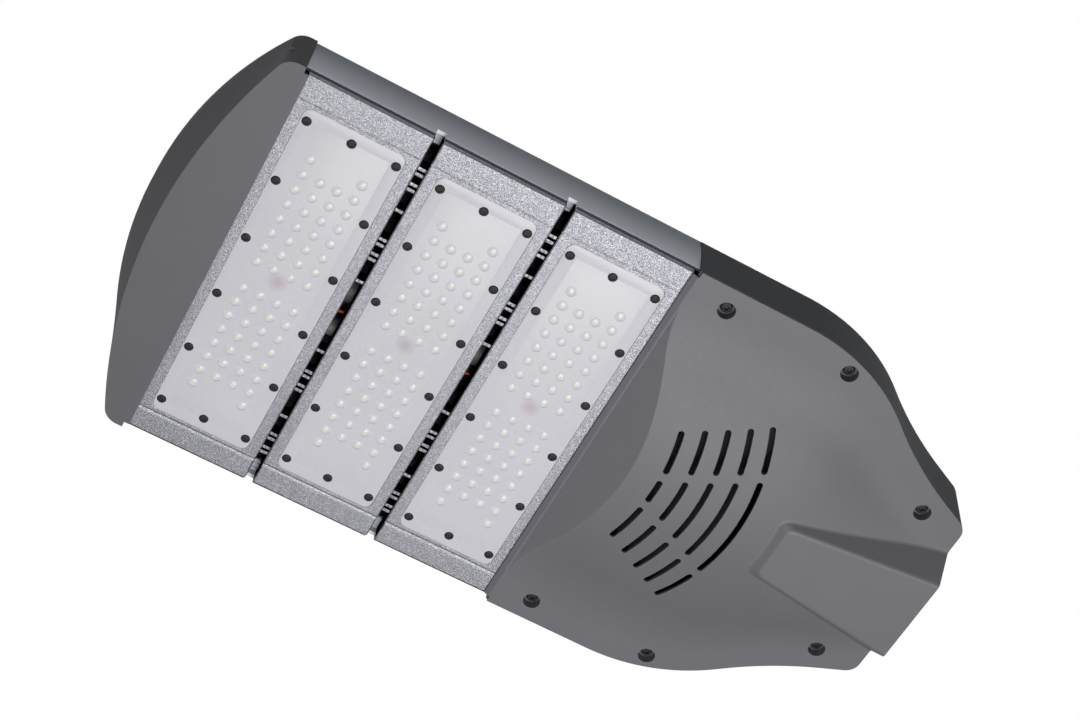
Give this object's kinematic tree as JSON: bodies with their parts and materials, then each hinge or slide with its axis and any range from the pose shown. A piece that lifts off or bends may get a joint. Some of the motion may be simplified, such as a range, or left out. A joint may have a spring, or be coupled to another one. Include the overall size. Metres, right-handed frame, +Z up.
{
  "type": "led street light head",
  "caption": "Flat LED street lamp head: lens modules across a frame of side rails, arched nose casting, and a tapering tail housing with vented driver cover and arm socket.",
  "frame": {"origin": "centre of the arm socket's mouth, where the pole's arm enters", "axes": "+X from the pole towards the nose of the lamp, +Y across the lamp to its left side, +Z up; the light leaves towards -Z"},
  "size_m": [0.6288, 0.321, 0.092],
  "materials": {
    "cast_paint": "satin grey paint with a fine metallic flake over a pressure-cast skin",
    "deck_paint": "satin grey paint",
    "rail_metal": "extruded, satin grey anodised",
    "module_metal": "bright, brushed across the module and clear anodised",
    "lens_plastic": "clear moulded plate with a frosted ground between its domes",
    "pale_seal": "white silicone",
    "board_white": "white solder mask",
    "led_phosphor": "pale yellow phosphor",
    "black_screws": "black oxide",
    "steel_screws": "bright zinc",
    "dark_rubber": "matt",
    "driver_case": "black anodised",
    "terminal_white": "natural",
    "surge_blue": "satin",
    "gland_black": "satin",
    "connector_grey": "satin",
    "lead_sheath": "matt",
    "wire_red": "gloss insulation",
    "wire_black": "gloss insulation",
    "sleeve_grey": "shrunk sleeve, satin"
  },
  "bodies": {
    "root": {"arm_set_screws": "black_screws", "bulkhead_gland": "gland_black", "circuit_board_1": "board_white", "circuit_board_2": "board_white", "circuit_board_3": "board_white", "connector_1": "gland_black", "connector_2": "connector_grey", "cover_gasket": "dark_rubber", "cover_screws": "black_screws", "deck_screws": "steel_screws", "driver": "driver_case", "driver_cover": "cast_paint", "driver_screws": "steel_screws", "lead_1a": "lead_sheath", "lead_1b": "lead_sheath", "lead_2a": "lead_sheath", "lead_2b": "lead_sheath", "lead_3": "lead_sheath", "lead_box_1": "gland_black", "lead_box_2": "gland_black", "lead_box_3": "gland_black", "leds_1": "led_phosphor", "leds_2": "led_phosphor", "leds_3": "led_phosphor", "lens_gasket_1": "pale_seal", "lens_gasket_2": "pale_seal", "lens_gasket_3": "pale_seal", "lens_plate_1": "lens_plastic", "lens_plate_2": "lens_plastic", "lens_plate_3": "lens_plastic", "lens_screws_1": "black_screws", "lens_screws_2": "black_screws", "lens_screws_3": "black_screws", "link_wires": "wire_red", "module_body_1": "module_metal", "module_body_2": "module_metal", "module_body_3": "module_metal", "module_glands": "gland_black", "module_screws": "steel_screws", "nose_cap": "cast_paint", "rail_screws": "steel_screws", "side_rail_left": "rail_metal", "side_rail_right": "rail_metal", "splice_sleeve": "sleeve_grey", "splice_wire": "wire_black", "surge_protector": "surge_blue", "tail_housing": "cast_paint", "terminal_block": "terminal_white", "top_deck": "deck_paint", "wire_grommets": "dark_rubber"}
  },
  "joints": []
}
